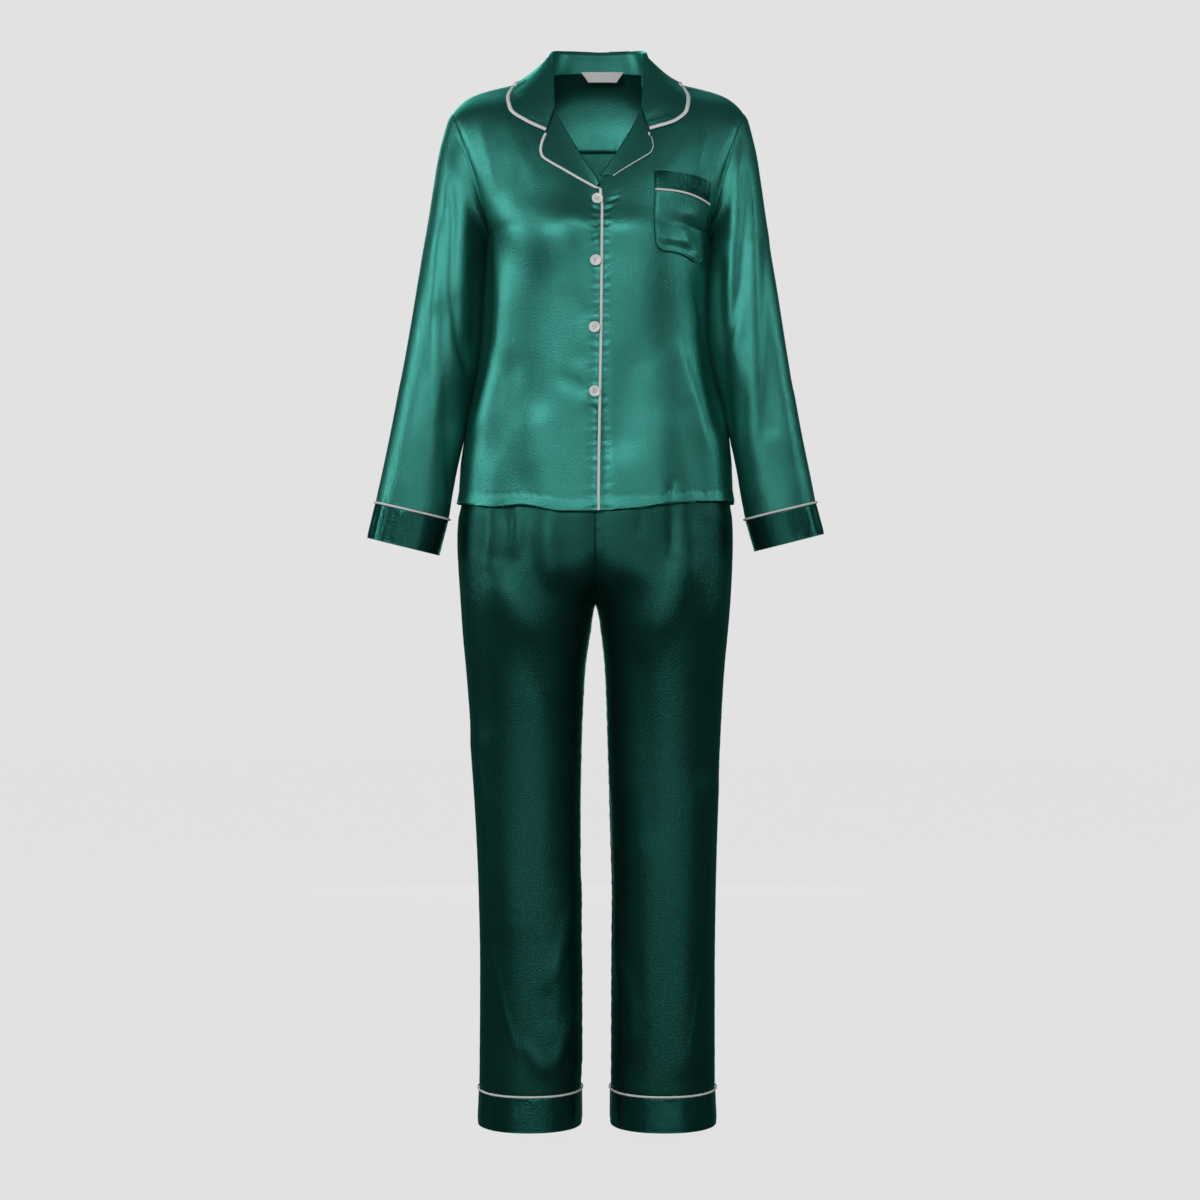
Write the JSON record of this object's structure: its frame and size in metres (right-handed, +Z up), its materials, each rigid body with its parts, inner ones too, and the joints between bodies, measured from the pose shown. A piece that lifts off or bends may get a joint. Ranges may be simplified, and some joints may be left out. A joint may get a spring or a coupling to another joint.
{
  "type": "pyjama set",
  "caption": "Satin pyjama set in worn form: long-sleeved shirt with a notched collar, chest pocket and contrast piping, over straight long trousers.",
  "frame": {"origin": "where the wearer holds it up: the middle of the neck base, level with the shoulders", "axes": "+Z up, the garment's front faces -Y, the wearer's left is +X"},
  "size_m": [0.6182, 0.2524, 1.4708],
  "materials": {
    "shirt_satin": "emerald satin with a soft directional sheen",
    "trouser_satin": "the same emerald satin, in its darker lie",
    "piping_tape": "white corded piping tape",
    "button_shell": "pearly white, polished",
    "label_tape": "blank woven tape"
  },
  "bodies": {
    "root": {"shirt_front_right": "shirt_satin", "shirt_front_left": "shirt_satin", "shirt_back": "shirt_satin", "shirt_yoke": "shirt_satin", "sleeve_right": "shirt_satin", "sleeve_left": "shirt_satin", "cuff_right": "trouser_satin", "cuff_left": "trouser_satin", "collar": "shirt_satin", "lapel_right": "shirt_satin", "lapel_left": "shirt_satin", "pocket": "shirt_satin", "pocket_band": "trouser_satin", "neck_label": "label_tape", "button_1": "button_shell", "button_2": "button_shell", "button_3": "button_shell", "button_4": "button_shell", "piping_collar": "piping_tape", "piping_front": "piping_tape", "piping_lapel_left": "piping_tape", "piping_pocket": "piping_tape", "piping_cuff_right": "piping_tape", "piping_cuff_left": "piping_tape", "piping_leg_right": "piping_tape", "piping_leg_left": "piping_tape", "trouser_front_right": "trouser_satin", "trouser_front_left": "trouser_satin", "trouser_back_right": "trouser_satin", "trouser_back_left": "trouser_satin", "waistband": "trouser_satin", "leg_band_right": "trouser_satin", "leg_band_left": "trouser_satin"}
  },
  "joints": []
}
